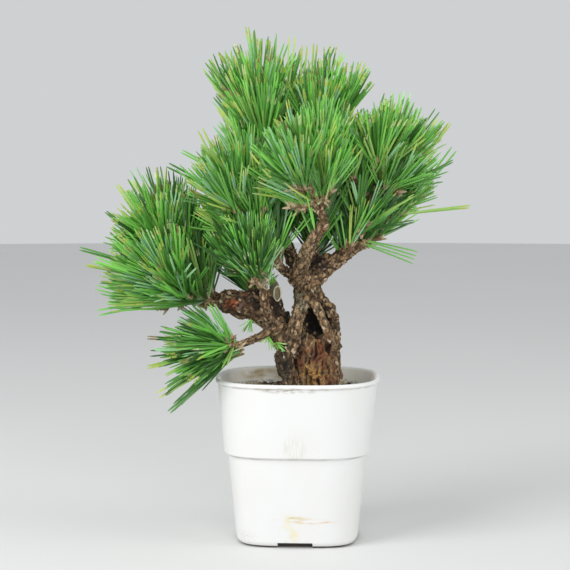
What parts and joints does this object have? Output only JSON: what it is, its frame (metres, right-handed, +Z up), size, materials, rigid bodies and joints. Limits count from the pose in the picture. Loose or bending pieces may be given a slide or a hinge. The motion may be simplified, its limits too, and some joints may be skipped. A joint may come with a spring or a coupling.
{
  "type": "japanese black pine bonsai in a pot",
  "caption": "Young Japanese black pine trained as a small bonsai with a hollow, flaky-barked stump, forking boughs and upright needle tufts, growing in a rounded square white plastic pot",
  "frame": {"origin": "the middle of the pot's flat underside, where it stands", "axes": "+Z up along the pot's axis, -Y towards the front of the tree, +X to its right, square to the pot's sides"},
  "size_m": [0.247, 0.1877, 0.3215],
  "materials": {
    "pot_plastic": "satin",
    "soil_grit": "matte",
    "bark": "matte",
    "needles": "satin"
  },
  "bodies": {
    "root": {"pot": "pot_plastic", "soil": "soil_grit", "trunk": "bark", "bough_back": "bark", "bough_centre": "bark", "bough_inner": "bark", "bough_left": "bark", "bough_left_low": "bark", "bough_left_rear": "bark", "bough_left_top": "bark", "bough_low": "bark", "bough_mid_left": "bark", "bough_rear": "bark", "bough_right": "bark", "bough_right_rear": "bark", "bough_right_top": "bark", "bough_top": "bark", "needles_centre": "needles", "needles_inner": "needles", "needles_left_low": "needles", "needles_left_rear": "needles", "needles_left_top": "needles", "needles_low": "needles", "needles_mid_left": "needles", "needles_rear": "needles", "needles_right": "needles", "needles_right_rear": "needles", "needles_right_top": "needles", "needles_top": "needles", "needles_top_left": "needles"}
  },
  "joints": []
}
